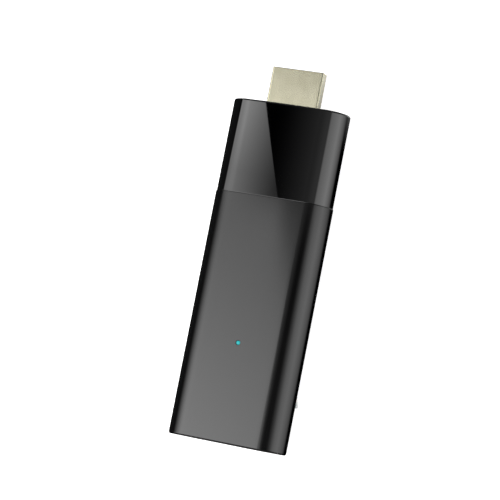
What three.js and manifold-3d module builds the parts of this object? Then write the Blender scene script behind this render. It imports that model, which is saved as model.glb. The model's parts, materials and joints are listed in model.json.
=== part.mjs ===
// A streaming media stick: a flat, round-sided body that plugs straight into a television's video socket.
// Millimetres, +Z up. The stick lies on its back, its front face up and its plug towards +Y. The origin is on
// the flat of the back, half way along the case. Every piece is made in place, in the stick's own frame.
import * as THREE from "three";
import { mergeVertices } from "three/addons/utils/BufferGeometryUtils.js";
import Module from "manifold-3d";

const wasm = await Module();
wasm.setup();

// ---------------------------------------------------------------- driving dimensions

const CASE = { width: 31.3, thick: 11.6, length: 86.5, flat: 20, power: 2.05 }; // flat: width of the level back
const CROWN = 150; // radius of the front's slight crown
const TAIL_Y = -CASE.length / 2;
const NOSE_Y = CASE.length / 2;
const MID_Z = CASE.thick / 2;
const SEAM_Y = 19.3; // where the matte sleeve ends and the glossy nose begins

const WALL = 1.3; // sleeve
const NOSE_STEP = 0.15; // the nose stands this far below the sleeve's surface
const NOSE_WALL = 1.45;
const NOSE_END = 1.5; // end wall round the plug
const NOSE_ROUND = 0.4;
const EDGE_ROUND = 0.25;
const SPIGOT = { inset: 1.6, wall: 1, length: 5 }; // the part of the nose inside the sleeve
const GAP = 0.3; // between neighbours that are cut by each other
const CONTACT = 0.03; // between faces that rest on each other
const FAR = 20; // a cutter that runs out past the case stops here

const PLUG = { width: 13.9, height: 4.45, sheet: 0.35, side: 2.75, foot: 10.2, out: 9.75, top: 6.75 };
const PLUG_CLEAR = 0.25; // round the plug in the nose's window
const PLUG_MID_Z = PLUG.top - PLUG.height / 2;
const PLUG_TIP_Y = NOSE_Y + PLUG.out;
const PLUG_REAR_Y = NOSE_Y - 8.5;
const RAIL = { x: 12.2, y: SEAM_Y + 7.8, wide: 3.4, long: 12.5, high: 0.9 }; // under the board, in the nose
const PIN = { upper: 10, lower: 9, pitch: 1, width: 0.35, thick: 0.15 };

const BOARD = { thick: 1, half: 12.5, noseHalf: 11.6, tailY: -40.8, stepY: 13.4, noseY: PLUG_REAR_Y - 0.3 };
const BOARD_TOP = PLUG_MID_Z + BOARD.thick / 2;
const BOARD_UNDER = PLUG_MID_Z - BOARD.thick / 2;
const SCREW = { head: 1.5, headHigh: 0.8, shank: 0.75, length: 2.8, boss: 1.8 };
const SCREW_PLACES = [[-9.5, -36.4], [9.5, -36.4], [-10.4, 11.2], [10.4, 11.2]];

const TRAY = { inset: SPIGOT.inset, floor: 0.8, top: 7.2, tailY: -40.9, noseY: SEAM_Y - 5.6, ledge: 10.6 };
const ARM = { x: 6, wide: 4, z: 2.75, thick: 0.65, tipY: SEAM_Y + 2.7, hook: 1.4 }; // tray to nose
const TAIL_PLATE = { recess: 0.3, thick: 1.6, clear: 0.15 };
const TONGUE = { x: 6, wide: 2.6, long: 4.8, thick: 0.8, root: 0.4 }; // tail plate to sleeve
const CATCH = { y: TAIL_Y + 5.8, long: 0.9, high: 0.95, pocketLong: 1.6, pocketDepth: 0.45 };
const USB = { width: 7.5, height: 2.6, side: 1.5, foot: 5.5, sheet: 0.3, mouthY: TAIL_Y + 0.4, depth: 5 };
const USB_Z = BOARD_TOP + CONTACT + USB.height / 2;

const LAMP = { y: -17.9, radius: 0.5, hole: 0.65 };
const BUTTON = { y: -29.5, z: 2.7, long: 3.4, high: 1.4, lowX: 14.7, crestX: 15.5 };
const FLANGE = { x: 12.1, thick: 0.6, long: 5.2, bay: 6.8 }; // bay: length of the tray's gap for the button
const SWITCH = { depth: 3.3, long: 4.6, high: 1.4, faceX: 10.87, sheet: 0.15, clear: 0.1 };
const LABEL = { width: 11, y0: -35, y1: -9, recess: 0.2, thick: 0.15, clear: 0.1 };

// ---------------------------------------------------------------- solids

const hardware = new THREE.Group();

// A closed three.js geometry as a manifold-3d solid.
function solid(geometry) {
  const flat = geometry.index ? geometry.toNonIndexed() : geometry;
  const bare = new THREE.BufferGeometry().setAttribute("position", flat.getAttribute("position"));
  const merged = mergeVertices(bare, 1e-5);
  return new wasm.Manifold(
    new wasm.Mesh({
      numProp: 3,
      vertProperties: merged.attributes.position.array,
      triVerts: new Uint32Array(merged.index.array),
    }),
  );
}

// A manifold-3d solid as a flat-shaded three.js geometry.
function geometryOf(body) {
  const mesh = body.getMesh();
  const points = new Float32Array(mesh.numVert * 3);
  for (let i = 0; i < mesh.numVert; i++) {
    const from = i * mesh.numProp;
    points.set(mesh.vertProperties.subarray(from, from + 3), i * 3);
  }
  const indexed = new THREE.BufferGeometry()
    .setAttribute("position", new THREE.BufferAttribute(points, 3))
    .setIndex(new THREE.BufferAttribute(mesh.triVerts, 1));
  const flat = indexed.toNonIndexed();
  flat.computeVertexNormals();
  return flat;
}

function box(x0, x1, y0, y1, z0, z1) {
  const geometry = new THREE.BoxGeometry(x1 - x0, y1 - y0, z1 - z0);
  return solid(geometry.translate((x0 + x1) / 2, (y0 + y1) / 2, (z0 + z1) / 2));
}

// A box by its middle in X and Y and its foot in Z, as parts on a board are placed.
function block(x, y, z0, sizeX, sizeY, sizeZ) {
  return box(x - sizeX / 2, x + sizeX / 2, y - sizeY / 2, y + sizeY / 2, z0, z0 + sizeZ);
}

function rod(x, y, z0, z1, radius, sides = 24) {
  const geometry = new THREE.CylinderGeometry(radius, radius, z1 - z0, sides).rotateX(Math.PI / 2);
  return solid(geometry.translate(x, y, (z0 + z1) / 2));
}

// An outline in X and Z, drawn out along Y from y0 to y1. round eases both ends.
function alongY(shape, y0, y1, round = 0, steps = 3) {
  const geometry = new THREE.ExtrudeGeometry(shape, {
    depth: y1 - y0 - 2 * round,
    bevelEnabled: round > 0,
    bevelThickness: round,
    bevelSize: round,
    bevelOffset: -round,
    bevelSegments: steps,
    curveSegments: 3,
  });
  return solid(geometry.rotateX(Math.PI / 2).translate(0, y1 - round, 0));
}

// An outline in Y and Z, drawn out along X from x0 to x1.
function alongX(shape, x0, x1) {
  const geometry = new THREE.ExtrudeGeometry(shape, { depth: x1 - x0, bevelEnabled: false, curveSegments: 4 });
  return solid(geometry.rotateX(Math.PI / 2).rotateZ(Math.PI / 2).translate(x0, 0, 0));
}

function unite(first, ...rest) {
  return rest.reduce((all, next) => all.add(next), first);
}

function cut(first, ...rest) {
  return rest.reduce((left, next) => left.subtract(next), first);
}

// ---------------------------------------------------------------- outlines

// The case's outline in X and Z, drawn in from its surface by inset. The back is level, the front slightly
// crowned and the sides superelliptic.
function caseOutline(inset = 0, steps = 24, frontSteps = 10) {
  const half = CASE.width / 2 - inset - CASE.flat / 2;
  const points = [];
  const place = (x, up) => {
    const fall = up > 0 ? x ** 2 / (2 * CROWN) : 0;
    points.push(new THREE.Vector2(x, MID_Z + (CASE.thick / 2 - inset - fall) * up));
  };
  for (const side of [1, -1]) {
    for (let i = 0; i <= steps; i++) {
      const turn = side * Math.PI * (i / steps - 0.5);
      const across = Math.abs(Math.cos(turn)) ** (2 / CASE.power);
      const up = Math.sign(Math.sin(turn)) * Math.abs(Math.sin(turn)) ** (2 / CASE.power);
      place(side * (CASE.flat / 2 + half * across), up);
    }
    for (let i = 1; i < frontSteps && side > 0; i++) place((CASE.flat / 2) * (1 - (2 * i) / frontSteps), 1);
  }
  return new THREE.Shape(points);
}

// A polygon with every corner rounded by a short curve.
function rounded(corners, radius) {
  const shape = new THREE.Shape();
  corners.forEach((corner, i) => {
    const before = corners[(i + corners.length - 1) % corners.length];
    const after = corners[(i + 1) % corners.length];
    const start = corner.clone().add(before.clone().sub(corner).setLength(radius));
    const end = corner.clone().add(after.clone().sub(corner).setLength(radius));
    if (i) shape.lineTo(start.x, start.y);
    else shape.moveTo(start.x, start.y);
    shape.quadraticCurveTo(corner.x, corner.y, end.x, end.y);
  });
  shape.closePath();
  return shape;
}

// A shell whose lower corners are cut off: the outline of the video plug and of the power inlet.
function shellOutline({ width, height, foot, side }, midZ, grow, radius) {
  const half = width / 2 + grow;
  const top = midZ + height / 2 + grow;
  const bottom = midZ - height / 2 - grow;
  const waist = midZ + height / 2 - side - grow * 0.4;
  const toe = foot / 2 + grow * 0.6;
  const right = [[toe, bottom], [half, waist], [half, top]];
  const corners = [...right, ...right.map(([x, z]) => [-x, z]).reverse()];
  return rounded(corners.map(([x, z]) => new THREE.Vector2(x, z)), radius);
}

const plugOutline = (grow) => shellOutline(PLUG, PLUG_MID_Z, grow, 0.45);
const usbOutline = (grow) => shellOutline(USB, USB_Z, grow, 0.35);

function pill(midY, midZ, long, high) {
  const end = (long - high) / 2;
  const shape = new THREE.Shape();
  shape.absarc(midY + end, midZ, high / 2, -Math.PI / 2, Math.PI / 2, false);
  shape.absarc(midY - end, midZ, high / 2, Math.PI / 2, Math.PI * 1.5, false);
  return shape;
}

// ---------------------------------------------------------------- materials

function paint(color, roughness, metalness = 0) {
  return new THREE.MeshStandardMaterial({ color, roughness, metalness });
}

const MATERIALS = {
  satin: paint(0x2a2a2b, 0.42),
  gloss: paint(0x060607, 0.06),
  tray: paint(0x1b1b1d, 0.6),
  plating: paint(0xbdb898, 0.28, 1),
  gold: paint(0xd9b45a, 0.25, 1),
  insulator: paint(0x141414, 0.55),
  steel: paint(0xb9babb, 0.32, 1),
  aluminium: paint(0xc4c6c8, 0.45, 1),
  board: paint(0x0f3a24, 0.45),
  chip: paint(0x1c1c1e, 0.5),
  ferrite: paint(0x4a4a4c, 0.7),
  pad: paint(0x7f8fa6, 0.85),
  lens: paint(0x8fe8ea, 0.2),
  lamp: paint(0xf2efe2, 0.4),
  button: paint(0xe4e5e4, 0.3),
  film: paint(0x3a3a3c, 0.5),
};

function add(name, material, body) {
  const mesh = new THREE.Mesh(geometryOf(body), MATERIALS[material]);
  mesh.name = name;
  hardware.add(mesh);
}

// ---------------------------------------------------------------- case

// The matte tube, open at both ends, with the lamp's hole, the button's slot and the label's recess.
function bodySleeve() {
  const lampHole = rod(0, LAMP.y, MID_Z, CASE.thick + 1, LAMP.hole);
  const slotOutline = pill(BUTTON.y, BUTTON.z, BUTTON.long + 2 * GAP, BUTTON.high + 2 * GAP);
  const labelRecess = box(
    -LABEL.width / 2 - LABEL.clear,
    LABEL.width / 2 + LABEL.clear,
    LABEL.y0 - LABEL.clear,
    LABEL.y1 + LABEL.clear,
    -FAR,
    LABEL.recess,
  );
  const pocketHigh = MID_Z - WALL + CATCH.pocketDepth;
  const catches = [-1, 1].map((side) =>
    block(side * TONGUE.x, CATCH.y, MID_Z, TONGUE.wide + 2 * GAP, CATCH.pocketLong, pocketHigh),
  );
  return cut(
    alongY(caseOutline(), TAIL_Y, SEAM_Y, EDGE_ROUND, 2),
    alongY(caseOutline(WALL), TAIL_Y - 1, SEAM_Y + 1),
    lampHole,
    alongX(slotOutline, SWITCH.faceX, FAR),
    labelRecess,
    ...catches,
  );
}

// The glossy end: a cup with a window for the plug, and a spigot that the sleeve slides over.
function noseCap() {
  const cup = cut(
    alongY(caseOutline(NOSE_STEP), SEAM_Y - 3, NOSE_Y, NOSE_ROUND),
    box(-FAR, FAR, SEAM_Y - 5, SEAM_Y, -FAR, FAR),
  );
  const spigotY = SEAM_Y - SPIGOT.length;
  const rails = [-1, 1].map((side) =>
    block(side * RAIL.x, RAIL.y, BOARD_UNDER - RAIL.high, RAIL.wide, RAIL.long, RAIL.high - CONTACT),
  );
  const hollow = unite(
    alongY(caseOutline(SPIGOT.inset + SPIGOT.wall), spigotY - 1, SEAM_Y + 2),
    alongY(caseOutline(NOSE_STEP + NOSE_WALL), SEAM_Y + 1, NOSE_Y - NOSE_END),
  );
  const shell = cut(unite(cup, alongY(caseOutline(SPIGOT.inset), spigotY, SEAM_Y + 2)), hollow);
  const railsInCup = unite(...rails).intersect(alongY(caseOutline(0.8), SEAM_Y + 1, NOSE_Y - 1));
  return cut(unite(shell, railsInCup), alongY(plugOutline(PLUG_CLEAR), NOSE_Y - 4, NOSE_Y + 1));
}

// The plate that closes the tail, with the inlet's window and two catch tongues.
function tailPlate() {
  const y0 = TAIL_Y + TAIL_PLATE.recess;
  const y1 = y0 + TAIL_PLATE.thick;
  const tongueY = y1 + TONGUE.long / 2 - TONGUE.root;
  const tongueTop = CASE.thick - WALL - GAP;
  const tongues = [-1, 1].map((side) =>
    unite(
      block(side * TONGUE.x, tongueY, tongueTop - TONGUE.thick, TONGUE.wide, TONGUE.long, TONGUE.thick),
      block(side * TONGUE.x, CATCH.y, tongueTop - TONGUE.thick / 2, TONGUE.wide, CATCH.long, CATCH.high),
    ),
  );
  return cut(
    unite(alongY(caseOutline(WALL + TAIL_PLATE.clear), y0, y1), ...tongues),
    alongY(usbOutline(GAP), TAIL_Y - 1, TAIL_Y + 4),
  );
}

// The moulded tray that carries the board: side rails with a ledge, screw bosses and two catch arms.
function boardTray() {
  const floorTop = TRAY.inset + TRAY.floor;
  const trough = cut(
    alongY(caseOutline(TRAY.inset), TRAY.tailY, TRAY.noseY),
    box(-FAR, FAR, TAIL_Y, SEAM_Y, TRAY.top, FAR),
    box(-TRAY.ledge, TRAY.ledge, TAIL_Y, SEAM_Y, floorTop, FAR),
    box(-BOARD.half - GAP, BOARD.half + GAP, TAIL_Y, SEAM_Y, BOARD_UNDER - CONTACT, FAR),
  );
  const bosses = SCREW_PLACES.map(([x, y]) => rod(x, y, floorTop - 0.2, BOARD_UNDER - CONTACT, SCREW.boss));
  const pilots = SCREW_PLACES.map(([x, y]) => rod(x, y, 0, BOARD_UNDER + 1, SCREW.shank + 0.1));
  const armRoot = 2;
  const armLong = ARM.tipY - TRAY.noseY + armRoot;
  const arms = [-1, 1].map((side) =>
    unite(
      block(side * ARM.x, ARM.tipY - armLong / 2, ARM.z, ARM.wide, armLong, ARM.thick),
      block(side * ARM.x, TRAY.noseY - armRoot / 2, floorTop - 0.5, ARM.wide, armRoot, 1.6),
      block(side * ARM.x, ARM.tipY - ARM.hook / 2, ARM.z - 0.85, ARM.wide, ARM.hook, ARM.hook),
    ),
  );
  const buttonBay = box(TRAY.ledge, FAR, BUTTON.y - FLANGE.bay / 2, BUTTON.y + FLANGE.bay / 2, 0, FAR);
  const inside = unite(trough, ...bosses).intersect(alongY(caseOutline(TRAY.inset), TAIL_Y, SEAM_Y));
  return cut(unite(inside, ...arms), ...pilots, buttonBay);
}

function backLabel() {
  const z0 = LABEL.recess - LABEL.thick - CONTACT;
  return box(-LABEL.width / 2, LABEL.width / 2, LABEL.y0, LABEL.y1, z0, z0 + LABEL.thick);
}

add("body_sleeve", "satin", bodySleeve());
add("nose_cap", "gloss", noseCap());
add("tail_plate", "satin", tailPlate());
add("board_tray", "tray", boardTray());
add("back_label", "film", backLabel());

// ---------------------------------------------------------------- video plug

function plugShell() {
  return cut(
    alongY(plugOutline(0), PLUG_REAR_Y, PLUG_TIP_Y),
    alongY(plugOutline(-PLUG.sheet), PLUG_REAR_Y - 1, PLUG_TIP_Y + 1),
  );
}

// Places across the plug of one row of contacts.
function pinPlaces(count) {
  return Array.from({ length: count }, (_, i) => (i - (count - 1) / 2) * PIN.pitch);
}

const PLUG_SLOT = { half: 5.9, high: 2.1, y0: NOSE_Y - 0.8, y1: PLUG_TIP_Y - 0.5 };

// The moulded block in the shell, with the slot for the socket's tongue and a channel for each row of contacts.
function plugInsulator() {
  const { half, high, y0, y1 } = PLUG_SLOT;
  const rise = high / 2;
  const reach = ((PIN.upper - 1) * PIN.pitch) / 2 + PIN.width;
  const channels = [1, -1].map((row) => {
    const levels = [PLUG_MID_Z + row * 0.42, PLUG_MID_Z + row * (rise + 0.15)].sort((a, b) => a - b);
    return box(-reach, reach, PLUG_REAR_Y - 1, y1 - 0.4, ...levels);
  });
  return cut(
    alongY(plugOutline(-PLUG.sheet - 0.06), PLUG_REAR_Y + 0.2, y1),
    box(-half, half, y0, PLUG_TIP_Y, PLUG_MID_Z - rise, PLUG_MID_Z + rise),
    ...channels,
  );
}

// One sprung contact, from its foot on the board to its tip in the slot. row is 1 above the board, -1 below.
function plugContact(x, row) {
  const foot = BOARD.thick / 2 + CONTACT;
  const wall = PLUG_SLOT.high / 2 - 0.1;
  const line = [
    [PLUG_REAR_Y - 2.7, foot],
    [PLUG_SLOT.y0 - 0.6, foot],
    [PLUG_TIP_Y - 9.3, wall],
    [PLUG_TIP_Y - 5.6, wall],
    [PLUG_TIP_Y - 4, wall - 0.3],
    [PLUG_TIP_Y - 2.4, wall],
    [PLUG_TIP_Y - 1.4, wall],
  ];
  const outer = line.map(([y, z]) => [y, z + PIN.thick]).reverse();
  const outline = [...line, ...outer].map(([y, z]) => new THREE.Vector2(y, PLUG_MID_Z + row * z));
  return alongX(new THREE.Shape(outline), x - PIN.width / 2, x + PIN.width / 2);
}

add("hdmi_shell", "plating", plugShell());
add("hdmi_insulator", "insulator", plugInsulator());
pinPlaces(PIN.upper).forEach((x, i) => add(`hdmi_contact_${i * 2 + 1}`, "gold", plugContact(x, 1)));
pinPlaces(PIN.lower).forEach((x, i) => add(`hdmi_contact_${i * 2 + 2}`, "gold", plugContact(x, -1)));

// ---------------------------------------------------------------- power inlet

const USB_REAR_Y = USB.mouthY + USB.depth;

function usbShell() {
  return cut(
    alongY(usbOutline(0), USB.mouthY, USB_REAR_Y),
    alongY(usbOutline(-USB.sheet), USB.mouthY - 1, USB_REAR_Y + 1),
  );
}

function usbTongue() {
  const base = alongY(usbOutline(-USB.sheet - 0.05), USB_REAR_Y - 1, USB_REAR_Y - 0.1);
  return unite(base, box(-1.85, 1.85, USB.mouthY + 0.7, USB_REAR_Y - 0.5, USB_Z + 0.05, USB_Z + 0.65));
}

add("usb_shell", "steel", usbShell());
add("usb_tongue", "insulator", usbTongue());

// ---------------------------------------------------------------- board and what it carries

function mainBoard() {
  const wide = box(-BOARD.half, BOARD.half, BOARD.tailY, BOARD.stepY, BOARD_UNDER, BOARD_TOP);
  const narrow = box(
    -BOARD.noseHalf,
    BOARD.noseHalf,
    BOARD.stepY - 1,
    BOARD.noseY,
    BOARD_UNDER,
    BOARD_TOP,
  );
  const holes = SCREW_PLACES.map(([x, y]) => rod(x, y, BOARD_UNDER - 1, BOARD_TOP + 1, SCREW.shank + 0.2));
  return cut(unite(wide, narrow), ...holes);
}

function boardScrew(x, y) {
  const seat = BOARD_TOP + CONTACT;
  const head = rod(x, y, seat, seat + SCREW.headHigh, SCREW.head);
  const recess = unite(
    block(x, y, seat + 0.35, 1.7, 0.4, 1),
    block(x, y, seat + 0.35, 0.4, 1.7, 1),
  );
  return cut(unite(head, rod(x, y, seat - SCREW.length, seat + 0.2, SCREW.shank)), recess);
}

// A drawn can, open underneath, as over a radio or a processor.
function can(x, y, z0, sizeX, sizeY, high, sheet) {
  return cut(
    block(x, y, z0, sizeX, sizeY, high),
    block(x, y, z0 - 1, sizeX - 2 * sheet, sizeY - 2 * sheet, 1 + high - sheet),
  );
}

const ON_TOP = BOARD_TOP + CONTACT;
const SHIELD = { x: 0, y: -1, sizeX: 18, sizeY: 21, high: 1.9, sheet: 0.25 };
const SHIELD_TOP = ON_TOP + SHIELD.high;
const COVER = { high: 0.9, sheet: 0.2, clear: 0.05 };
const COVER_TOP = SHIELD_TOP + CONTACT + COVER.sheet;
const SPREADER = { sizeX: 21, sizeY: 30, thick: 1.5, y: -1 };
const PAD_THICK = 0.9;
const PROCESSOR = { x: -1.2, y: 3.2, size: 11, high: 1.15 };
const RADIO = { x: -3, y: -28.6, sizeX: 12, sizeY: 12.2, thick: 0.6 };

// The fence soldered round the processor, a plain wall with no top.
function shieldFence() {
  const { x, y, sizeX, sizeY, high, sheet } = SHIELD;
  return cut(
    block(x, y, ON_TOP, sizeX, sizeY, high),
    block(x, y, ON_TOP - 1, sizeX - 2 * sheet, sizeY - 2 * sheet, high + 2),
  );
}

function shieldCover() {
  const reach = 2 * (COVER.clear + COVER.sheet);
  return can(
    SHIELD.x,
    SHIELD.y,
    COVER_TOP - COVER.high,
    SHIELD.sizeX + reach,
    SHIELD.sizeY + reach,
    COVER.high,
    COVER.sheet,
  );
}

// The aluminium plate over the cover, with shallow grooves along its length.
function heatSpreader() {
  const z0 = COVER_TOP + 2 * CONTACT + PAD_THICK;
  const plate = block(0, SPREADER.y, z0, SPREADER.sizeX, SPREADER.sizeY, SPREADER.thick);
  const grooves = Array.from({ length: 6 }, (_, i) =>
    block((i - 2.5) * 3, SPREADER.y, z0 + SPREADER.thick - 0.6, 1.2, SPREADER.sizeY - 4, 1),
  );
  return cut(plate, ...grooves);
}

const ANTENNA = { x: 11, y: -22.4, wide: 1.6, long: 9, high: 2.2, sheet: 0.25 };

// A stamped strip that stands on two feet above the board's edge.
function antenna(side) {
  const { x, y, wide, long, high, sheet } = ANTENNA;
  const tail = y - long / 2 + sheet / 2;
  return unite(
    block(side * x, y, ON_TOP + high - sheet, wide, long, sheet),
    block(side * x, tail, ON_TOP, wide, sheet, high),
    block(side * x, tail + 3.2, ON_TOP, wide, sheet, high),
  );
}

add("main_board", "board", mainBoard());
SCREW_PLACES.forEach(([x, y], i) => add(`board_screw_${i + 1}`, "steel", boardScrew(x, y)));
add("processor", "chip", block(PROCESSOR.x, PROCESSOR.y, ON_TOP, PROCESSOR.size, PROCESSOR.size, PROCESSOR.high));
[-4.2, 4.2].forEach((x, i) => add(`memory_chip_${i + 1}`, "chip", block(x, -7.1, ON_TOP, 7.2, 7.6, 0.95)));
add("storage_chip", "chip", block(0, -2, BOARD_UNDER - CONTACT - 0.95, 11.5, 13, 0.95));
add("power_chip", "chip", block(-4.6, 18.4, ON_TOP, 4, 4, 0.85));
add("crystal", "steel", block(6.9, 4.6, ON_TOP, 2.5, 3.2, 0.7));
add("inductor_1", "ferrite", block(-5.6, 24.4, ON_TOP, 4, 4, 1.9));
add("inductor_2", "ferrite", block(-0.8, 24.4, ON_TOP, 4, 4, 1.9));
add("tantalum_capacitor", "chip", block(4.6, 19, ON_TOP, 3.5, 2.8, 1.8));
add("status_led", "lamp", block(0, LAMP.y, ON_TOP, 1.6, 0.8, 0.6));
add("radio_module", "board", block(RADIO.x, RADIO.y, ON_TOP, RADIO.sizeX, RADIO.sizeY, RADIO.thick));
add("radio_can", "steel", can(RADIO.x, RADIO.y + 0.4, ON_TOP + RADIO.thick + CONTACT, 11, 10.6, 1.3, 0.2));
add("shield_fence", "steel", shieldFence());
add("shield_cover", "steel", shieldCover());
add("thermal_pad_1", "pad", block(PROCESSOR.x, PROCESSOR.y, ON_TOP + PROCESSOR.high + CONTACT, 10, 10, 0.66));
add("thermal_pad_2", "pad", block(0, SHIELD.y, COVER_TOP + CONTACT, 16, 18, PAD_THICK));
add("heat_spreader", "aluminium", heatSpreader());
add("antenna_left", "steel", antenna(-1));
add("antenna_right", "steel", antenna(1));

// ---------------------------------------------------------------- lamp and button

// The clear peg that carries the lamp's light to the front.
function lightPipe() {
  const collarTop = CASE.thick - WALL - GAP;
  const collarFoot = collarTop - 0.9;
  return unite(
    rod(0, LAMP.y, collarFoot, CASE.thick - 0.05, LAMP.radius, 16),
    rod(0, LAMP.y, collarFoot, collarTop, 1.3, 16),
    rod(0, LAMP.y, ON_TOP + 0.9, collarTop - 0.5, 0.8, 16),
  );
}

// The button, low on the side: a pill whose face rises towards the tail, on a flange that keeps it in the case.
function sideButton() {
  const { y, z, long, high, lowX, crestX } = BUTTON;
  const ease = 0.35;
  const crest = new THREE.Shape([
    new THREE.Vector2(FLANGE.x - 0.2, y + long),
    new THREE.Vector2(FLANGE.x - 0.2, y - long),
    new THREE.Vector2(crestX - ease, y - long / 2),
    new THREE.Vector2(crestX, y - long / 2 + ease),
    new THREE.Vector2(crestX, y - long / 2 + 0.9),
    new THREE.Vector2((crestX + lowX) / 2 + 0.12, y + 0.6),
    new THREE.Vector2(lowX, y + long / 2),
  ]);
  const face = solid(
    new THREE.ExtrudeGeometry(crest, { depth: 4, bevelEnabled: false }).translate(0, 0, z - 2),
  );
  const cap = alongX(pill(y, z, long, high), FLANGE.x - 0.1, FAR).intersect(face);
  const reach = FLANGE.long / 2;
  return unite(
    cap,
    box(FLANGE.x - FLANGE.thick, FLANGE.x, y - reach, y + reach, z - high / 2, BOARD_UNDER - 0.2),
  );
}

const ON_UNDER = BOARD_UNDER - CONTACT;
const PLUNGER = { long: 1.4, high: 0.5, z: ON_UNDER - 0.65, out: 0.6, deep: 1.6, travel: 0.3 };

// The side-pushed switch under the board that the button works: a moulded base with a slot for its plunger.
function switchBase() {
  const x0 = SWITCH.faceX - SWITCH.depth;
  const slot = box(
    SWITCH.faceX - PLUNGER.deep - PLUNGER.travel - 2 * SWITCH.clear,
    FAR,
    BUTTON.y - PLUNGER.long / 2 - SWITCH.clear,
    BUTTON.y + PLUNGER.long / 2 + SWITCH.clear,
    PLUNGER.z - PLUNGER.high / 2 - SWITCH.clear,
    PLUNGER.z + PLUNGER.high / 2 + SWITCH.clear,
  );
  const y0 = BUTTON.y - SWITCH.long / 2;
  const foot = ON_UNDER - SWITCH.high + SWITCH.sheet;
  return cut(box(x0, SWITCH.faceX, y0, y0 + SWITCH.long, foot, ON_UNDER), slot);
}

function switchCover() {
  const y0 = BUTTON.y - SWITCH.long / 2 - SWITCH.clear / 2;
  const y1 = BUTTON.y + SWITCH.long / 2 + SWITCH.clear / 2;
  const x0 = SWITCH.faceX - SWITCH.depth;
  const under = ON_UNDER - SWITCH.high - CONTACT;
  return unite(
    box(x0, SWITCH.faceX, y0 - SWITCH.sheet, y1 + SWITCH.sheet, under, under + SWITCH.sheet),
    box(x0 + 0.4, SWITCH.faceX - 0.4, y0 - SWITCH.sheet, y0, under, ON_UNDER - 0.2),
    box(x0 + 0.4, SWITCH.faceX - 0.4, y1, y1 + SWITCH.sheet, under, ON_UNDER - 0.2),
  );
}

function switchPlunger() {
  return block(
    SWITCH.faceX + (PLUNGER.out - PLUNGER.deep) / 2,
    BUTTON.y,
    PLUNGER.z - PLUNGER.high / 2,
    PLUNGER.out + PLUNGER.deep,
    PLUNGER.long,
    PLUNGER.high,
  );
}

add("light_pipe", "lens", lightPipe());
add("side_button", "button", sideButton());
add("switch_base", "insulator", switchBase());
add("switch_cover", "steel", switchCover());
add("switch_plunger", "button", switchPlunger());

export default hardware;
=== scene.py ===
"""A streaming media stick with a satin sleeve, a glossy nose and a pale gold plug. In metres, in the CAD
frame: +Z out of the front, +Y to the plug's tip."""
import json
import math

import bmesh
import bpy
from mathutils import Matrix, Vector


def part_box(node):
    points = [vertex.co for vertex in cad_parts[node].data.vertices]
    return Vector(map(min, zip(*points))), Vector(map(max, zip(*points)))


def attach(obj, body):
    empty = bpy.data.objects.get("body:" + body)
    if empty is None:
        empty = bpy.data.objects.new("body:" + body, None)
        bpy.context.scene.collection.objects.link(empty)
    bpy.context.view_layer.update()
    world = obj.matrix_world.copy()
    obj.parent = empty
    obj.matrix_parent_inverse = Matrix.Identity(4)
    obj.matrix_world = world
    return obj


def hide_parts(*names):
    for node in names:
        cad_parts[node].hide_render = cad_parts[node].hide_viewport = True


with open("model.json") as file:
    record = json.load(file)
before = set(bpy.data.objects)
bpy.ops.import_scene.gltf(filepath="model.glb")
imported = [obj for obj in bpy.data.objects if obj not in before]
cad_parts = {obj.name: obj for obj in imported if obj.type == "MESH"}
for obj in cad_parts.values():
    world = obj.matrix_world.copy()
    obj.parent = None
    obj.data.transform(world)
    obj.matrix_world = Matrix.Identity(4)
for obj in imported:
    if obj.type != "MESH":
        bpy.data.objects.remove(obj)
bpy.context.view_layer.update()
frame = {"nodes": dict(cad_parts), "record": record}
MM = 0.001

# ---------------------------------------------------------------- places, from the frame

sleeve_low, sleeve_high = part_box("body_sleeve")
nose_low, nose_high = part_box("nose_cap")
plug_low, plug_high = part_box("hdmi_shell")
plate_low, plate_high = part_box("tail_plate")
inlet_low, inlet_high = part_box("usb_shell")
tongue_low, tongue_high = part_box("usb_tongue")
label_low, label_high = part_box("back_label")
lamp_low, lamp_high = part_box("light_pipe")
button_low, button_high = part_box("side_button")

TAIL, SEAM, NOSE_END = sleeve_low.y, sleeve_high.y, nose_high.y
HALF_WIDTH, TOP = sleeve_high.x, sleeve_high.z
MID_Z = TOP / 2
LEVEL = 10 * MM  # half the width of the level back and of the front over it
CROWN = 150 * MM  # radius of the front's slight crown
POWER = 2.05  # of the superelliptic sides
WALL = 1.3 * MM
NOSE_STEP = nose_low.z  # the nose stands this far below the sleeve's surface
SUPPORT = 0.05 * MM  # from a rounding to the point or ring that ends it
UNDER_WALL = TOP - WALL - 0.3 * MM  # just clear of the sleeve's front wall
SHARP_ANGLE = 35  # degrees between two faces, above which their edge is shaded sharp
CLEARANCE = 0.3 * MM  # round the button in its slot, and the inlet in its window
# of the plug's shell and the inlet's: width below, height of the sides, sheet's thickness, folds' radius
PLUG_FOOT, PLUG_SIDE, PLUG_SHEET, PLUG_FOLD = 10.2 * MM, 2.75 * MM, 0.35 * MM, 0.45 * MM
USB_FOOT, USB_SIDE, USB_SHEET, USB_FOLD = 5.5 * MM, 1.5 * MM, 0.3 * MM, 0.35 * MM
BUTTON_Y, BUTTON_Z = -29.5 * MM, 2.7 * MM
BUTTON_LONG, BUTTON_HIGH = 3.4 * MM, 1.4 * MM
LAMP = lamp_low.lerp(lamp_high, 0.5)
INLET_MID = (inlet_low.z + inlet_high.z) / 2
USUAL_NOISE = (0.3, 0.7)  # where most of a noise's values lie


# ---------------------------------------------------------------- mesh helpers


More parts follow.
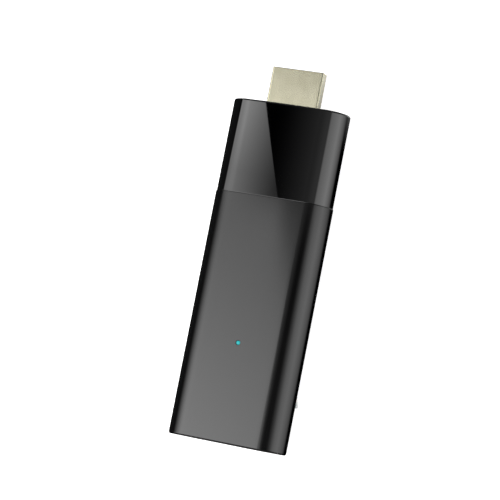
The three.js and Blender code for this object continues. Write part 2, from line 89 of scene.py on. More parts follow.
def case_outline(inset, y, per_side=56, across=24):
    """One ring round the case's section at y, drawn in from the surface by inset."""
    reach = HALF_WIDTH - LEVEL - inset

    def point(x, up):
        fall = x * x / (2 * CROWN) if up > 0 else 0
        return Vector((x, y, MID_Z + (MID_Z - inset - fall) * up))

    ring = []
    for side in (1, -1):
        for i in range(per_side + 1):
            turn = math.pi * (i / per_side - 0.5) * side
            out = abs(math.cos(turn)) ** (2 / POWER)
            up = math.copysign(abs(math.sin(turn)) ** (2 / POWER), math.sin(turn))
            ring.append(point(side * (LEVEL + reach * out), up))
        ring += [point(side * LEVEL * (1 - 2 * i / across), side) for i in range(1, across)]
    return ring


def rounded_outline(corners, radius, y, steps=6):
    """A ring at y through (x, z) corners, each rounded by a short curve. One more point on each side of a
    curve keeps the shading of the flats true."""
    ring = []
    count = len(corners)
    for i, corner in enumerate(corners):
        here = Vector(corner)
        before = (Vector(corners[i - 1]) - here).normalized()
        after = (Vector(corners[(i + 1) % count]) - here).normalized()
        start = here + before * radius
        end = here + after * radius
        curve = [
            start * (1 - t) ** 2 + here * (2 * t * (1 - t)) + end * t**2
            for t in (k / steps for k in range(steps + 1))
        ]
        curve = [start + before * SUPPORT] + curve + [end + after * SUPPORT]
        ring += [Vector((p.x, y, p.y)) for p in curve]
    return ring


def shell_corners(low, high, foot, side, grow):
    """The (x, z) corners of a shell whose lower corners are cut off, drawn out by grow, anticlockwise."""
    half = high.x + grow
    top, bottom = high.z + grow, low.z - grow
    waist = high.z - side - grow * 0.4
    toe = foot / 2 + grow * 0.6
    right = [(toe, bottom), (half, waist), (half, top)]
    return right + [(-x, z) for x, z in reversed(right)]


def spread_to(ring, outline):
    """Points of outline, one for each point of ring, at the same angle round the outline's middle."""
    mid = Vector((0, outline[0].y, (min(p.z for p in outline) + max(p.z for p in outline)) / 2))
    found = []
    for p in ring:
        way = Vector((p.x - mid.x, p.z - mid.z)).normalized()
        best = None
        for a, b in zip(outline, outline[1:] + outline[:1]):
            edge = Vector((b.x - a.x, b.z - a.z))
            start = Vector((a.x - mid.x, a.z - mid.z))
            cross = way.x * edge.y - way.y * edge.x
            if abs(cross) < 1e-12:
                continue
            far = (start.x * edge.y - start.y * edge.x) / cross
            along = (start.x * way.y - start.y * way.x) / cross
            if far > 0 and -1e-6 <= along <= 1 + 1e-6 and (best is None or far > best):
                best = far
        found.append(Vector((mid.x + way.x * best, mid.y, mid.z + way.y * best)))
    return found


def at_y(ring, y):
    return [Vector((p.x, y, p.z)) for p in ring]


def quarter(steps):
    """Angles from 0 to a quarter turn."""
    return [math.pi / 2 * k / steps for k in range(steps + 1)]


def shade(mesh, sharp):
    """Smooth faces, with the edges sharp above an angle in degrees."""
    mesh.polygons.foreach_set("use_smooth", [True] * len(mesh.polygons))
    mesh.set_sharp_from_angle(angle=math.radians(sharp))


def make(name, bm, material, sharp=SHARP_ANGLE):
    """A new object from a bmesh, shaded smooth."""
    bmesh.ops.remove_doubles(bm, verts=bm.verts, dist=1e-8)
    bmesh.ops.recalc_face_normals(bm, faces=bm.faces)
    mesh = bpy.data.meshes.new(name)
    bm.to_mesh(mesh)
    bm.free()
    shade(mesh, sharp)
    mesh.materials.append(material)
    piece = bpy.data.objects.new(name, mesh)
    bpy.context.scene.collection.objects.link(piece)
    return piece


def loft(rings, closed=True):
    """A bmesh of quads between rings of equal length. closed joins the last ring to the first."""
    bm = bmesh.new()
    layers = [[bm.verts.new(p) for p in ring] for ring in rings]
    count = len(rings[0])
    pairs = list(zip(layers, layers[1:]))
    if closed:
        pairs.append((layers[-1], layers[0]))
    else:
        bm.faces.new(layers[0])
        bm.faces.new(layers[-1])
    for lower, upper in pairs:
        for i in range(count):
            k = (i + 1) % count
            bm.faces.new((lower[i], lower[k], upper[k], upper[i]))
    return bm


def cut_out(piece, *cutters, join=False):
    """Takes the cutters' shapes out of piece, or joins them to it, and removes the cutters."""
    for cutter in cutters:
        modifier = piece.modifiers.new("cut", "BOOLEAN")
        modifier.object = cutter
        modifier.operation = "UNION" if join else "DIFFERENCE"
        modifier.solver = "EXACT"
    graph = bpy.context.evaluated_depsgraph_get()
    mesh = bpy.data.meshes.new_from_object(piece.evaluated_get(graph))
    shade(mesh, SHARP_ANGLE)
    piece.modifiers.clear()
    piece.data = mesh
    for cutter in cutters:
        bpy.data.objects.remove(cutter)
    return piece


def pill_ring(middle, long, high, x, steps=14):
    """A ring in the Y-Z plane at x: a slot shape with round ends."""
    ring = []
    for side in (1, -1):
        for i in range(steps + 1):
            turn = math.pi * (i / steps - 0.5)
            y = middle.y + side * ((long - high) / 2 + math.cos(turn) * high / 2)
            ring.append(Vector((x, y, middle.z + side * math.sin(turn) * high / 2)))
    return ring


def disc_ring(x, y, z, radius, steps=40):
    return [
        Vector((x + radius * math.cos(math.tau * i / steps), y + radius * math.sin(math.tau * i / steps), z))
        for i in range(steps)
    ]


def settle(piece, body, slot_name, *nodes):
    """Puts a finished piece on its body and hides the CAD nodes that it stands for."""
    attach(piece, body)
    if nodes:
        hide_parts(*nodes)
    return piece


# ---------------------------------------------------------------- materials


class Finish:
    """A procedural material under construction: one Principled shader and the nodes that feed it."""

    def __init__(self, name, **sockets):
        self.material = bpy.data.materials.new(name)
        self.material.use_nodes = True
        self.tree = self.material.node_tree
        self.shader = self.tree.nodes["Principled BSDF"]
        for socket, value in sockets.items():
            self.shader.inputs[socket.replace("_", " ")].default_value = value
        self.place = self.tree.nodes.new("ShaderNodeTexCoord").outputs["Object"]

    def node(self, kind, **values):
        made = self.tree.nodes.new(kind)
        for key, value in values.items():
            if hasattr(made, key):
                setattr(made, key, value)
            else:
                made.inputs[key.replace("_", " ")].default_value = value
        return made

    def link(self, output, socket):
        self.tree.links.new(output, socket)

    def stretched(self, scale):
        mapping = self.node("ShaderNodeMapping")
        mapping.inputs["Scale"].default_value = scale
        self.link(self.place, mapping.inputs["Vector"])
        return mapping.outputs["Vector"]

    def noise(self, size, detail=2.0, stretch=None):
        """Noise whose grains are about size metres across."""
        made = self.node("ShaderNodeTexNoise", Scale=1 / size, Detail=detail)
        self.link(self.stretched(stretch) if stretch else self.place, made.inputs["Vector"])
        return made.outputs["Fac"]

    def colour(self, factor, first, second):
        """The colour goes from first to second as factor rises."""
        ramp = self.node("ShaderNodeValToRGB")
        for element, position, tone in zip(ramp.color_ramp.elements, USUAL_NOISE, (first, second)):
            element.position = position
            element.color = (*tone, 1)
        self.link(factor, ramp.inputs["Fac"])
        self.link(ramp.outputs["Color"], self.shader.inputs["Base Color"])

    def rough(self, factor, low, high):
        """The roughness goes from low to high as factor rises."""
        made = self.node("ShaderNodeMapRange", To_Min=low, To_Max=high)
        made.inputs["From Min"].default_value, made.inputs["From Max"].default_value = USUAL_NOISE
        self.link(factor, made.inputs["Value"])
        self.link(made.outputs["Result"], self.shader.inputs["Roughness"])

    def bump(self, factor, depth, strength=1.0):
        made = self.node("ShaderNodeBump", Strength=strength, Distance=depth)
        self.link(factor, made.inputs["Height"])
        self.link(made.outputs["Normal"], self.shader.inputs["Normal"])


def satin_case():
    """Fine spark-eroded texture over near-black plastic with a satin sheen."""
    f = Finish("satin_case", IOR=1.5, Specular_IOR_Level=0.33)
    f.colour(f.noise(0.004, detail=3), (0.0008, 0.0008, 0.0009), (0.0014, 0.0014, 0.0015))
    f.rough(f.noise(0.0006, detail=3), 0.09, 0.105)
    f.bump(f.noise(0.00022, detail=4), 0.000002, 0.25)
    return f.material


def gloss_case():
    """Piano-black plastic: near mirror, with the faintest waviness and hairline haze."""
    f = Finish("gloss_case", IOR=1.5)
    f.colour(f.noise(0.006), (0.0002, 0.0002, 0.0003), (0.0004, 0.0004, 0.0005))
    f.rough(f.noise(0.0015, detail=5, stretch=(1, 0.12, 1)), 0.008, 0.018)
    f.bump(f.noise(0.02, detail=0), 0.0000004, 0.3)
    return f.material


def plug_plating():
    """Pale gold flash over satin nickel, drawn lengthwise."""
    f = Finish("plug_plating", Metallic=1.0)
    lines = f.noise(0.00012, detail=3, stretch=(1, 0.03, 1))
    f.colour(f.noise(0.003, detail=2), (0.44, 0.42, 0.31), (0.48, 0.46, 0.345))
    f.rough(lines, 0.18, 0.20)
    f.bump(lines, 0.0000015, 0.08)
    return f.material


def moulded(name, tone, grain=0.0003):
    """Plain moulded plastic."""
    f = Finish(name, IOR=1.5)
    f.colour(f.noise(0.002, detail=3), tuple(0.85 * c for c in tone), tuple(1.15 * c for c in tone))
    f.rough(f.noise(0.0008), 0.5, 0.62)
    f.bump(f.noise(grain, detail=3), 0.000004, 0.5)
    return f.material


def metal(name, tone, roughness, stretch=None):
    """Bare or plated metal, with fine drawn lines."""
    f = Finish(name, Metallic=1.0)
    lines = f.noise(0.0002, detail=3, stretch=stretch or (1, 0.1, 1))
    f.colour(f.noise(0.0015, detail=3), tuple(0.9 * c for c in tone), tone)
    f.rough(lines, roughness, roughness + 0.12)
    f.bump(lines, 0.000002, 0.4)
    return f.material


def circuit_board():
    """Green solder resist over copper, with the copper's tracks just showing through."""
    f = Finish("circuit_board", IOR=1.5, Coat_Weight=0.4, Coat_Roughness=0.15)
    tracks = f.node("ShaderNodeTexBrick", Scale=900.0)
    tracks.inputs["Color1"].default_value = (0.012, 0.085, 0.035, 1)
    tracks.inputs["Color2"].default_value = (0.008, 0.06, 0.025, 1)
    tracks.inputs["Mortar"].default_value = (0.02, 0.13, 0.06, 1)
    tracks.inputs["Mortar Size"].default_value = 0.012
    f.link(f.place, tracks.inputs["Vector"])
    f.link(tracks.outputs["Color"], f.shader.inputs["Base Color"])
    f.rough(f.noise(0.0006), 0.3, 0.42)
    f.bump(tracks.outputs["Fac"], 0.00002, 0.4)
    return f.material


def clear_lens():
    """The lamp's peg: clear acrylic that glows cyan while the lamp is on, brightest in the middle."""
    spread = 0.55 * MM  # from the tip's middle to where the glow ends
    f = Finish("clear_lens", IOR=1.49, Roughness=0.3, Specular_IOR_Level=0.25)
    f.colour(f.noise(0.0004), (0.01, 0.09, 0.10), (0.015, 0.12, 0.13))
    away = f.node("ShaderNodeVectorMath", operation="DISTANCE")
    away.inputs[1].default_value = (0, LAMP.y, lamp_high.z)
    f.link(f.place, away.inputs[0])
    glow = f.node("ShaderNodeValToRGB")
    near, far = glow.color_ramp.elements
    near.position, near.color = 0.3, (0.01, 0.44, 0.45, 1)
    far.position, far.color = 0.93, (0.015, 0.36, 0.38, 1)
    glow.color_ramp.elements.new(1.0).color = (0, 0, 0, 1)
    reach = f.node("ShaderNodeMapRange")
    reach.inputs["From Max"].default_value = spread
    f.link(away.outputs["Value"], reach.inputs["Value"])
    f.link(reach.outputs["Result"], glow.inputs["Fac"])
    f.link(glow.outputs["Color"], f.shader.inputs["Emission Color"])
    f.shader.inputs["Emission Strength"].default_value = 1.0
    return f.material


def button_plastic():
    """Smooth, light, slightly waxy plastic."""
    f = Finish("button_plastic", IOR=1.47, Subsurface_Weight=0.08, Subsurface_Scale=0.0008)
    f.colour(f.noise(0.0012), (0.60, 0.61, 0.60), (0.66, 0.67, 0.66))
    f.rough(f.noise(0.0005), 0.3, 0.38)
    f.bump(f.noise(0.0003, detail=3), 0.000002, 0.4)
    return f.material


def label_film():
    """A matt film with a faint linen emboss and nothing printed on it."""
    f = Finish("label_film", IOR=1.5)
    f.colour(f.noise(0.003), (0.022, 0.022, 0.024), (0.030, 0.030, 0.032))
    weave = f.node("ShaderNodeTexWave", Scale=700.0, Distortion=0.4, bands_direction="DIAGONAL")
    f.link(f.place, weave.inputs["Vector"])
    f.rough(f.noise(0.0006), 0.42, 0.52)
    f.bump(weave.outputs["Fac"], 0.000004, 0.5)
    return f.material


FINISHES = {
    "satin_case": satin_case(),
    "gloss_case": gloss_case(),
    "plug_plating": plug_plating(),
    "circuit_board": circuit_board(),
    "clear_lens": clear_lens(),
    "button_plastic": button_plastic(),
    "label_film": label_film(),
    "tray_plastic": moulded("tray_plastic", (0.018, 0.018, 0.02)),
    "insulator": moulded("insulator", (0.012, 0.012, 0.012)),
    "chip_resin": moulded("chip_resin", (0.02, 0.02, 0.021), grain=0.0001),
    "ferrite": moulded("ferrite", (0.06, 0.06, 0.063), grain=0.0002),
    "led_package": moulded("led_package", (0.75, 0.73, 0.63)),
    "thermal_pad": moulded("thermal_pad", (0.19, 0.25, 0.36), grain=0.0005),
    "contact_gold": metal("contact_gold", (0.83, 0.60, 0.25), 0.22),
    "steel_sheet": metal("steel_sheet", (0.60, 0.60, 0.61), 0.25),
    "screw_steel": metal("screw_steel", (0.52, 0.52, 0.54), 0.3, stretch=(1, 1, 0.2)),
    "heat_plate": metal("heat_plate", (0.72, 0.73, 0.74), 0.35),
}


def dress_cad_nodes():
    """Every carried-over CAD node gets the finish of its slot."""
    for row in frame["record"]["subparts"]:
        node = frame["nodes"][row["node"]]
        node.data.materials.clear()
        node.data.materials.append(FINISHES[row["material_slot"]])


# ---------------------------------------------------------------- case pieces


def rounded_ends(low, high, radius, inset=0.0, steps=5):
    """(y, inset) steps at the two ends of a case piece, its edges rounded by radius. One more step next to
    each rounding keeps the shading of the long faces true."""
    roll = [(radius * (1 - math.sin(t)), inset + radius * (1 - math.cos(t))) for t in quarter(steps)]
    start = [(low + along, deep) for along, deep in reversed(roll)]
    end = [(high - along, deep) for along, deep in roll]
    return start + [(low + radius + SUPPORT, inset)], [(high - radius - SUPPORT, inset)] + end


def body_sleeve():
    """The satin tube, with the lamp's hole, the button's slot and the label's recess."""
    tail_round, seam_round, lamp_hole = 0.5 * MM, 0.05 * MM, 0.62 * MM
    past_wall = (11 * MM, 18 * MM)  # x inside and outside the wall at the button
    recess_grow, recess_deep, beyond = 0.1 * MM, 0.2 * MM, 1 * MM
    satin = FINISHES["satin_case"]
    start, _ = rounded_ends(TAIL, SEAM, tail_round)
    _, end = rounded_ends(TAIL, SEAM, seam_round, steps=2)
    rings = [case_outline(inset, y) for y, inset in start + end]
    rings += [case_outline(WALL, SEAM), case_outline(WALL, TAIL)]
    piece = make("sleeve", loft(rings), satin)
    hole = [disc_ring(LAMP.x, LAMP.y, z, lamp_hole) for z in (MID_Z, TOP + beyond)]
    middle = Vector((0, BUTTON_Y, BUTTON_Z))
    slot = [pill_ring(middle, BUTTON_LONG + 2 * CLEARANCE, BUTTON_HIGH + 2 * CLEARANCE, x) for x in past_wall]
    return cut_out(
        piece,
        make("hole_cutter", loft(hole, closed=False), satin),
        make("slot_cutter", loft(slot, closed=False), satin),
        label_block("recess_cutter", recess_grow, -beyond, recess_deep, satin),
    )


def label_block(name, grow, z0, z1, material, edge=0.0):
    """A plate in the label's place with rounded corners, between two heights."""
    corner_round = 1.2 * MM

    def ring(inset, z):
        x = label_high.x + grow - inset
        y0, y1 = label_low.y - grow + inset, label_high.y + grow - inset
        outline = rounded_outline([(-x, y0), (x, y0), (x, y1), (-x, y1)], corner_round, 0)
        return [Vector((p.x, p.z, z)) for p in outline]

    levels = [(0, z0), (0, z1)] if not edge else [(edge, z0), (0, z0 + edge), (0, z1)]
    return make(name, loft([ring(inset, z) for inset, z in levels], closed=False), material)


def plug_ring(y, grow):
    corners = shell_corners(plug_low, plug_high, PLUG_FOOT, PLUG_SIDE, grow)
    return rounded_outline(corners, PLUG_FOLD, y)


def nose_cap():
    """The glossy end: rounded at the plug, with a spigot inside the sleeve."""
    soft_edge, end_round, end_wall, window_gap = 0.08 * MM, 0.4 * MM, 1.5 * MM, 0.12 * MM
    inner, spigot, spigot_thick, ledge = NOSE_STEP + 1.45 * MM, 1.6 * MM, 1 * MM, 1 * MM
    start, _ = rounded_ends(SEAM, NOSE_END, soft_edge, NOSE_STEP, steps=3)
    _, end = rounded_ends(SEAM, NOSE_END, end_round, NOSE_STEP, steps=9)
    rings = [case_outline(inset, y) for y, inset in start + end]
    window = spread_to(rings[-1], plug_ring(NOSE_END, window_gap))
    rings += [
        window,
        at_y(window, NOSE_END - end_wall),
        case_outline(inner, NOSE_END - end_wall),
        case_outline(inner, SEAM + ledge),
        case_outline(spigot + spigot_thick, SEAM + ledge),
        case_outline(spigot + spigot_thick, nose_low.y),
        case_outline(spigot, nose_low.y),
        case_outline(spigot, SEAM),
    ]
    return make("nose", loft(rings), FINISHES["gloss_case"])


def plug_shell():
    """The folded sheet of the plug, its tip edge rolled."""
    edge, tip = 0.1 * MM, plug_high.y
    profile = [(plug_low.y, 0), (tip - edge - SUPPORT, 0), (tip - edge, 0)]
    profile += [(tip - edge * 0.3, -edge * 0.3), (tip, -edge)]
    profile += [(tip, edge - PLUG_SHEET), (tip - edge, -PLUG_SHEET)]
    profile += [(tip - edge - SUPPORT, -PLUG_SHEET), (plug_low.y, -PLUG_SHEET)]
    return make("plug_shell", loft([plug_ring(y, grow) for y, grow in profile]), FINISHES["plug_plating"])


def inlet_ring(y, grow):
    corners = shell_corners(inlet_low, inlet_high, USB_FOOT, USB_SIDE, grow)
    return rounded_outline(corners, USB_FOLD, y, steps=5)


def tail_plate():
    """The plate that closes the tail, its edge and its window eased, with its two catch tongues."""
    edge, thick, loose = 0.12 * MM, 1.6 * MM, 0.15 * MM
    tongue_x, half_wide, tongue_thick, root = 6 * MM, 1.3 * MM, 0.8 * MM, 0.4 * MM
    catch_start, catch_end, catch_root = TAIL + 5.35 * MM, TAIL + 6.25 * MM, 0.4 * MM
    satin = FINISHES["satin_case"]
    back, front = plate_low.y, plate_low.y + thick
    inset = WALL + loose
    rings = [case_outline(inset, front), case_outline(inset, back + edge), case_outline(inset + edge, back)]
    window = spread_to(rings[-1], inlet_ring(back, CLEARANCE + edge))
    rings += [window, spread_to(window, inlet_ring(back + edge, CLEARANCE))]
    rings.append(at_y(rings[-1], front))
    piece = make("plate", loft(rings), satin, sharp=20)
    tongues = []
    for side in (-1, 1):
        x0, x1 = side * tongue_x - half_wide, side * tongue_x + half_wide
        low = Vector((x0, front - root, UNDER_WALL - tongue_thick))
        tongues.append(bar("tongue", low, Vector((x1, plate_high.y, UNDER_WALL)), satin))
        low = Vector((x0, catch_start, UNDER_WALL - catch_root))
        tongues.append(bar("catch", low, Vector((x1, catch_end, plate_high.z)), satin))
    return cut_out(piece, *tongues, join=True)


def bar(name, low, high, material, edge=0.06 * MM):
    """A block between two corners, every edge eased."""

    def ring(inset, y):
        corners = [
            (low.x + inset, low.z + inset),
            (high.x - inset, low.z + inset),
            (high.x - inset, high.z - inset),
            (low.x + inset, high.z - inset),
        ]
        return rounded_outline(corners, edge, y, steps=3)

    rings = [ring(edge, low.y), ring(0, low.y + edge), ring(0, high.y - edge), ring(edge, high.y)]
    return make(name, loft(rings, closed=False), material)


def inlet_shell():
    """The inlet's folded steel shell, its mouth rolled."""
    edge, mouth = 0.08 * MM, inlet_low.y
    profile = [(inlet_high.y, 0), (mouth + edge + SUPPORT, 0), (mouth + edge, 0), (mouth, -edge)]
    profile += [(mouth, edge - USB_SHEET), (mouth + edge, -USB_SHEET)]
    profile += [(mouth + edge + SUPPORT, -USB_SHEET), (inlet_high.y, -USB_SHEET)]
    return make("inlet_shell", loft([inlet_ring(y, grow) for y, grow in profile]), FINISHES["steel_sheet"])


def inlet_tongue():
    """The inlet's tongue on its base block."""
    base_long, gap, half_wide, root = 0.9 * MM, 0.05 * MM, 1.85 * MM, 0.4 * MM
    under, over = 0.05 * MM, 0.65 * MM  # the tongue's faces above the inlet's middle
    base = [inlet_ring(y, -USB_SHEET - gap) for y in (tongue_high.y - base_long, tongue_high.y)]
    piece = make("inlet_tongue", loft(base, closed=False), FINISHES["insulator"])
    low = Vector((-half_wide, tongue_low.y, INLET_MID + under))
    high = Vector((half_wide, tongue_high.y - root, INLET_MID + over))
    return cut_out(piece, bar("tongue", low, high, FINISHES["insulator"]), join=True)


def inlet_contact(place):
    """One of the five flat contacts under the tongue, a hair proud of it."""
    pitch, half_wide, from_tip, from_back = 0.65 * MM, 0.2 * MM, 0.25 * MM, 1.2 * MM
    under, over = 0.02 * MM, 0.12 * MM  # its faces above the inlet's middle
    x = place * pitch
    low = Vector((x - half_wide, tongue_low.y + from_tip, INLET_MID + under))
    high = Vector((x + half_wide, tongue_high.y - from_back, INLET_MID + over))
    return bar(f"inlet_contact_{place + 3}", low, high, FINISHES["contact_gold"], edge=0.02 * MM)


def light_peg():
    """The lamp's clear peg, turned: a domed tip, a collar under the wall, and a stem down to the lamp."""
    tip_wide, dome, stem = 0.5 * MM, 0.12 * MM, 0.8 * MM
    collar, collar_edge, collar_thick = 1.3 * MM, 0.08 * MM, 0.9 * MM
    tip, under_collar = lamp_high.z, UNDER_WALL - collar_thick
    profile = [(tip_wide * math.sin(t), tip - dome * (1 - math.cos(t))) for t in quarter(8)[1:]]
    profile += [(tip_wide, UNDER_WALL), (collar - collar_edge, UNDER_WALL)]
    profile += [(collar, UNDER_WALL - collar_edge), (collar, under_collar)]
    profile += [(stem, under_collar), (stem, lamp_low.z)]
    rings = [disc_ring(0, LAMP.y, z, radius) for radius, z in profile]
    return make("light_peg", loft(rings, closed=False), FINISHES["clear_lens"])


def button_face(y):
    """How far out the button's face stands at y: highest near the tail, falling softly towards the nose."""
    level_part, wedge = 0.2, 0.8 * MM
    along = (y - (BUTTON_Y - BUTTON_LONG / 2)) / BUTTON_LONG
    fall = min(max((along - level_part) / (1 - level_part), 0), 1)
    return button_high.x - wedge * fall**1.3


def button():
    """The side button: a pill with a wedge face and a soft rim, on the flange that keeps it in."""
    flange_x, root, rim = 12.1 * MM, 0.1 * MM, 0.22 * MM
    face_insets = (0.4 * MM, 0.62 * MM, 0.68 * MM)  # of the rings that close the face, the last nearly a line
    light = FINISHES["button_plastic"]
    middle = Vector((0, BUTTON_Y, BUTTON_Z))
    rings = [pill_ring(middle, BUTTON_LONG, BUTTON_HIGH, flange_x - root)]
    rolls = [(rim * (1 - math.cos(t)), rim * (1 - math.sin(t))) for t in quarter(6)]
    for inset, drop in rolls + [(inset, 0) for inset in face_insets]:
        ring = pill_ring(middle, BUTTON_LONG - 2 * inset, BUTTON_HIGH - 2 * inset, 0)
        rings.append([Vector((button_face(p.y) - drop, p.y, p.z)) for p in ring])
    piece = make("button", loft(rings, closed=False), light)
    flange = bar("flange", button_low, Vector((flange_x, button_high.y, button_high.z)), light)
    return cut_out(piece, flange, join=True)


settle(body_sleeve(), "case", "satin_case", "body_sleeve")
settle(nose_cap(), "case", "gloss_case", "nose_cap")
settle(plug_shell(), "case", "plug_plating", "hdmi_shell")
settle(tail_plate(), "case", "satin_case", "tail_plate")
settle(inlet_shell(), "case", "steel_sheet", "usb_shell")
settle(inlet_tongue(), "case", "insulator", "usb_tongue")
for place in range(-2, 3):
    settle(inlet_contact(place), "case", "contact_gold")
settle(light_peg(), "case", "clear_lens", "light_pipe")
settle(button(), "side_button", "button_plastic", "side_button")
settle(
    label_block("label", 0, label_low.z, label_high.z, FINISHES["label_film"], edge=0.04 * MM),
    "case",
    "label_film",
    "back_label",
)
dress_cad_nodes()

# ---------------------------------------------------------------- floor, light and camera


def floor():
    """A plain white floor that lights itself, so it stays as white as the ground behind it."""
    mesh = bpy.data.meshes.new("floor")
    far = 4.0
    mesh.from_pydata([(-far, -far, 0), (far, -far, 0), (far, far, 0), (-far, far, 0)], [], [(0, 1, 2, 3)])
    piece = bpy.data.objects.new("floor", mesh)
    bpy.context.scene.collection.objects.link(piece)
    material = bpy.data.materials.new("floor")
    material.use_nodes = True
    shader = material.node_tree.nodes["Principled BSDF"]
    shader.inputs["Base Color"].default_value = (0.85, 0.85, 0.85, 1)
    shader.inputs["Roughness"].default_value = 1.0
    shader.inputs["Specular IOR Level"].default_value = 0.0
    shader.inputs["Emission Color"].default_value = (1, 1, 1, 1)
    shader.inputs["Emission Strength"].default_value = 0.86
    mesh.materials.append(material)
    piece.visible_glossy = False


class Sky:
    """The studio's light as soft cards round the stick, placed by angle in degrees. Turn is measured about
    the stick's length from straight up towards +X, and lift from across the stick towards its plug."""

    SEAM = (5.45, 5.6)  # the lifts mirrored at the seam: lower ones over the sleeve, higher over the nose
    LEANING = (-8.0, 12.0)  # the lifts between which an edge may lean
    KEY_EDGE = (-20.1, -20.0)  # the key's right edge over the nose, where the glow takes over

    def __init__(self):
        world = bpy.data.worlds.new("studio")
        bpy.context.scene.world = world
        world.use_nodes = True
        self.tree = world.node_tree
        self.tree.nodes.clear()
        way = self.tree.nodes.new("ShaderNodeTexCoord").outputs["Generated"]
        split = self.tree.nodes.new("ShaderNodeSeparateXYZ")
        self.tree.links.new(way, split.inputs[0])
        self.turn = self.math("DEGREES", self.math("ARCTAN2", split.outputs["X"], split.outputs["Z"]))
        self.lift = self.math("DEGREES", self.math("ARCSINE", split.outputs["Y"]))
        self.total = None

    def math(self, kind, *values):
        node = self.tree.nodes.new("ShaderNodeMath")
        node.operation = kind
        for i, value in enumerate(values):
            if isinstance(value, (int, float)):
                node.inputs[i].default_value = value
            else:
                self.tree.links.new(value, node.inputs[i])
        return node.outputs[0]

    def ramp(self, value, from_low, from_high, to_low=0.0, to_high=1.0, smooth=True):
        """to_low up to from_low, to_high past from_high, and a ramp between them."""
        node = self.tree.nodes.new("ShaderNodeMapRange")
        node.interpolation_type = "SMOOTHSTEP" if smooth else "LINEAR"
        for socket, number in zip(node.inputs[1:5], (from_low, from_high, to_low, to_high)):
            node.inputs[socket.name].default_value = number
        self.tree.links.new(value, node.inputs[0])
        return node.outputs[0]

    def product(self, *values):
        total = values[0]
        for value in values[1:]:
            total = self.math("MULTIPLY", total, value)
        return total

    def add(self, value):
        self.total = value if self.total is None else self.math("ADD", self.total, value)

    def slanted(self, slant, level):
        """Turn, counted from a line that leans by slant degrees for each degree of lift past level."""
        lowest, highest = self.LEANING
        held = self.math("MAXIMUM", self.math("MINIMUM", self.lift, highest), lowest)
        return self.math("MULTIPLY_ADD", held, -slant, self.math("ADD", self.turn, slant * level))

    def beside_key(self):
        """Turn, counted from a line that leans as the key's right edge does."""
        return self.slanted(-3.0, 6.15)

    def card(self, turn, lift, bright, soft=2.0, ends=6.0):
        """A plain card over turn (low, high) and lift (low, high), from bright[0] to bright[1] across."""
        self.add(self.product(
            self.ramp(self.turn, *turn, *bright, smooth=False),
            self.ramp(self.turn, turn[0] - soft, turn[0] + soft),
            self.ramp(self.turn, turn[1] - soft, turn[1] + soft, 1.0, 0.0),
            self.ramp(self.lift, lift[0] - ends, lift[0] + ends),
            self.ramp(self.lift, lift[1] - ends, lift[1] + ends, 1.0, 0.0),
        ))

    def either(self, mask, one, other):
        """one where mask is 1, other where it is 0."""
        return self.math("MULTIPLY_ADD", mask, self.math("SUBTRACT", one, other), other)

    def over_sleeve(self):
        """1 at the lifts that the sleeve's level faces mirror, 0 at the nose's."""
        return self.ramp(self.lift, *self.SEAM, 1.0, 0.0)

    def ends(self):
        """Fades the two cards out beyond the stick's own reflections, past its tail and past its plug."""
        return self.product(self.ramp(self.lift, -24, -10), self.ramp(self.lift, 8.3, 9.6, 1.0, 0.0))

    def key(self):
        """The main card, on the left, with feathered edges over the sleeve and hard ones over the nose. It is
        brightest towards the tail and past the nose, and its right edge leans."""
        right = self.beside_key()
        across = self.ramp(self.turn, -30.5, -19.5, smooth=False)
        fade = self.math("MULTIPLY", across, self.math("MULTIPLY_ADD", across, -0.28, 1.15))
        over_nose = self.product(
            self.ramp(self.lift, 6.1, 8.5, 4.8, 8.4, smooth=False),
            self.math("SUBTRACT", 1.0, fade),
            self.ramp(self.slanted(3.5, 6.3), -70, -64),
            self.ramp(self.slanted(8.0, 6.15), -62, -40, 0.7, 1.0, smooth=False),
            self.ramp(right, *self.KEY_EDGE, 1.0, 0.0),
        )
        near_seam = self.ramp(self.lift, 4.2, 5.5, 0.0, 0.75, smooth=False)
        over_sleeve = self.product(
            self.ramp(self.lift, -3.0, 5.5, 10.8, 4.2, smooth=False),
            self.math("MULTIPLY_ADD", across, near_seam, 1.0),
            self.ramp(self.turn, -32, -12, 1.0, 0.86, smooth=False),
            self.ramp(self.slanted(0.8, -0.4), -86, -34),
            self.ramp(right, -20.7, -19.3, 1.0, 0.31),
            self.ramp(self.turn, -13, -6.5, 1.0, 0.4),
            self.ramp(self.turn, -6.5, 15, 1.0, 0.0),
        )
        self.add(self.product(self.either(self.over_sleeve(), over_sleeve, over_nose), self.ends()))

    def fill(self):
        """The card on the right, brightest in its middle, its edges softer over the sleeve."""
        over_nose = self.product(
            self.ramp(self.turn, 30.5, 40.5),
            self.ramp(self.turn, 83, 134, 1.0, 0.0, smooth=False),
        )
        over_sleeve = self.product(
            self.ramp(self.slanted(-1.4, 5.5), 20, 57, 0.0, 1.1),
            self.ramp(self.turn, 84, 142, 1.0, 0.0, smooth=False),
        )
        self.add(self.product(
            self.ramp(self.turn, 37, 78, 3.1, 4.8, smooth=False),
            self.either(self.over_sleeve(), over_sleeve, over_nose),
            self.ends(),
        ))

    def glow(self):
        """The faint light between the two cards, over the nose's end only."""
        near = self.ramp(self.turn, -23, -12.6, smooth=False)
        far = self.ramp(self.turn, -12.6, 30, 0, 0.34)
        rise = self.math("MULTIPLY_ADD", self.product(near, near), 0.44, far)
        self.add(self.product(
            rise,
            self.ramp(self.beside_key(), *self.KEY_EDGE),
            self.ramp(self.turn, 36, 39, 1.0, 0.0),
            self.ramp(self.lift, *self.SEAM),
            self.ends(),
        ))

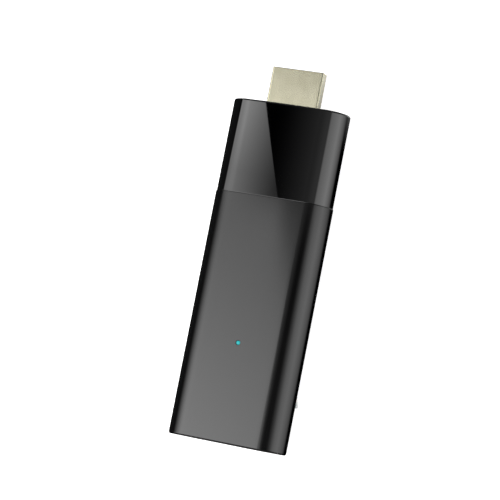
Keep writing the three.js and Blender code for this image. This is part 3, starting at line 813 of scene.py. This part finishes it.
    def finish(self, seen):
        """Lights the scene with the cards, and shows the camera a plain ground as bright as seen."""
        background = self.tree.nodes.new("ShaderNodeBackground")
        backdrop = self.tree.nodes.new("ShaderNodeBackground")
        backdrop.inputs["Color"].default_value = (seen, seen, seen, 1)
        self.tree.links.new(self.total, background.inputs["Strength"])
        mix = self.tree.nodes.new("ShaderNodeMixShader")
        path = self.tree.nodes.new("ShaderNodeLightPath")
        output = self.tree.nodes.new("ShaderNodeOutputWorld")
        self.tree.links.new(path.outputs["Is Camera Ray"], mix.inputs[0])
        self.tree.links.new(background.outputs[0], mix.inputs[1])
        self.tree.links.new(backdrop.outputs[0], mix.inputs[2])
        self.tree.links.new(mix.outputs[0], output.inputs[0])


def studio_light():
    sky = Sky()
    # what the front view mirrors
    sky.key()
    sky.fill()
    sky.glow()
    sky.card(turn=(-135, -70), lift=(-50, 50), bright=(0.03, 0.10), soft=3)
    sky.card(turn=(-12, 42), lift=(-24, 3), bright=(0.25, 0.25), soft=4, ends=3)
    sky.card(turn=(-70, 40), lift=(16, 44), bright=(0.6, 0.5), soft=8)
    sky.card(turn=(130, 175), lift=(9.5, 60), bright=(4.2, 4.2), soft=6, ends=2.5)
    # what only the other views mirror
    all_round = (-220, 220)
    sky.card(turn=(66, 122), lift=(30, 58), bright=(1.1, 1.1), soft=12, ends=8)
    sky.card(turn=(-166, -96), lift=(30, 58), bright=(1.1, 1.1), soft=12, ends=8)
    sky.card(turn=all_round, lift=(58, 76), bright=(1.1, 1.1), soft=8, ends=12)
    sky.card(turn=all_round, lift=(76, 110), bright=(0.3, 0.3), soft=8, ends=12)
    sky.card(turn=all_round, lift=(-110, -44), bright=(1.3, 1.3), soft=8, ends=12)
    sky.finish(seen=1.0)


def camera():
    """Looks down on the front from over the tail's right, rolled, from a little over half a metre."""
    azimuth, elevation, roll = math.radians(20.74), math.radians(-3.61), math.radians(11.06)
    picture, sensor = 500, 36  # width in pixels and in millimetres
    distance, pixels = 0.570, 2264  # metres, and the focal length in pixels
    aside, above = 9.57, 25.08  # pixels from the picture's middle to the stick's
    pixel = distance / pixels
    back = Vector((
        math.sin(azimuth) * math.cos(elevation),
        math.sin(elevation),
        math.cos(azimuth) * math.cos(elevation),
    ))
    right = Vector((0, 1, 0)).cross(back).normalized()
    up = back.cross(right)
    # the stick leans clockwise in the view, so the camera leans the other way
    view_right = right * math.cos(roll) + up * math.sin(roll)
    view_up = up * math.cos(roll) - right * math.sin(roll)
    centre = Vector((0, (TAIL + NOSE_END) / 2, MID_Z))
    place = centre + back * distance
    aim = centre - view_right * (aside * pixel) + view_up * (above * pixel)
    backward = (place - aim).normalized()
    across = view_up.cross(backward).normalized()
    upward = backward.cross(across)
    data = bpy.data.cameras.new("camera")
    data.sensor_width = sensor
    data.lens = sensor * pixels / picture
    data.clip_start = 0.01
    piece = bpy.data.objects.new("camera", data)
    turn = Matrix((across, upward, backward)).transposed().to_4x4()
    piece.matrix_world = Matrix.Translation(place) @ turn
    bpy.context.scene.collection.objects.link(piece)
    bpy.context.scene.camera = piece


floor()
studio_light()
camera()
bpy.context.scene.view_settings.view_transform = "Standard"
